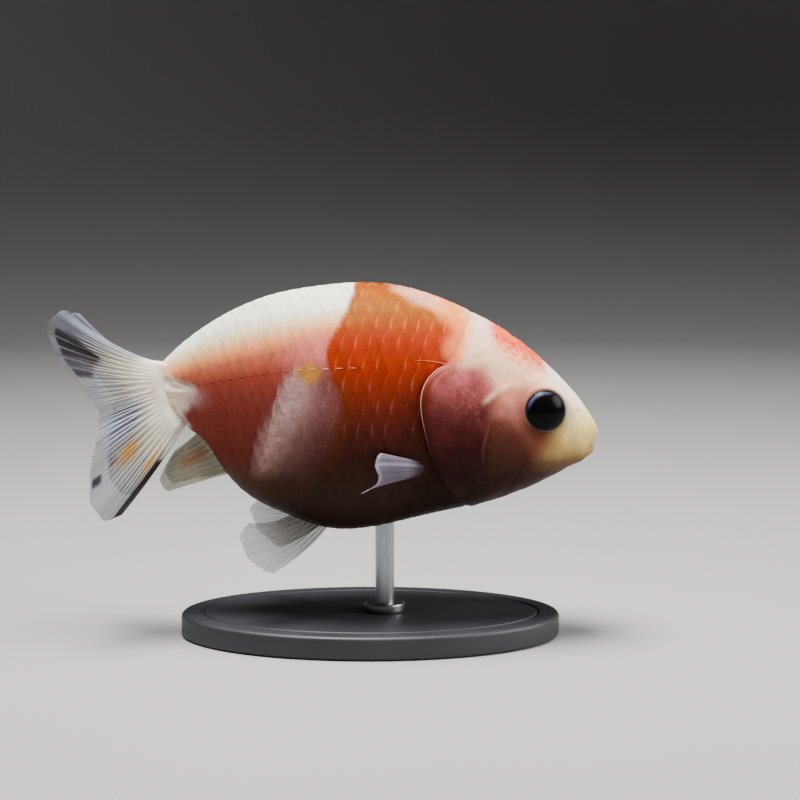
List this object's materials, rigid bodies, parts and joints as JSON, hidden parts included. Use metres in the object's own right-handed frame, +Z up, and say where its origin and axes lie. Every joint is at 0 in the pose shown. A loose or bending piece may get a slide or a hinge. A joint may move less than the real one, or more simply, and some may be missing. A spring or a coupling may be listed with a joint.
{
  "type": "ranchu goldfish display model",
  "caption": "Young egg-shaped fancy goldfish with an arched bare back and a double tail, swimming level, held over a flat oval stand by a short rod.",
  "frame": {"origin": "centre of the flat underside of the stand's base, on the floor", "axes": "+X towards the fish's snout, +Y towards the fish's left side, +Z up"},
  "size_m": [0.0741, 0.034, 0.0485],
  "materials": {
    "skin_head": "wet, softly glossy skin",
    "skin_gill": "wet, glossy skin over a thin bony plate",
    "skin_body": "wet skin under translucent scales, orange, brick red and pearl white",
    "skin_stalk": "wet, pale skin under translucent scales",
    "eye": "wet, mirror-smooth cornea over a black pupil",
    "fin": "thin, translucent web over fine pale rays",
    "stand_base": "satin, dark grey",
    "stand_rod": "finely brushed"
  },
  "bodies": {
    "root": {"head": "skin_head", "lower_jaw": "skin_head", "gill_cover_left": "skin_gill", "gill_cover_right": "skin_gill", "trunk": "skin_body", "tail_stalk": "skin_stalk", "eye_left": "eye", "eye_right": "eye", "pectoral_fin_left": "fin", "pectoral_fin_right": "fin", "pelvic_fin_left": "fin", "pelvic_fin_right": "fin", "anal_fin_left": "fin", "anal_fin_right": "fin", "tail_fin_upper_left": "fin", "tail_fin_upper_right": "fin", "tail_fin_lower_left": "fin", "tail_fin_lower_right": "fin", "stand_base": "stand_base", "stand_rod": "stand_rod"}
  },
  "joints": []
}
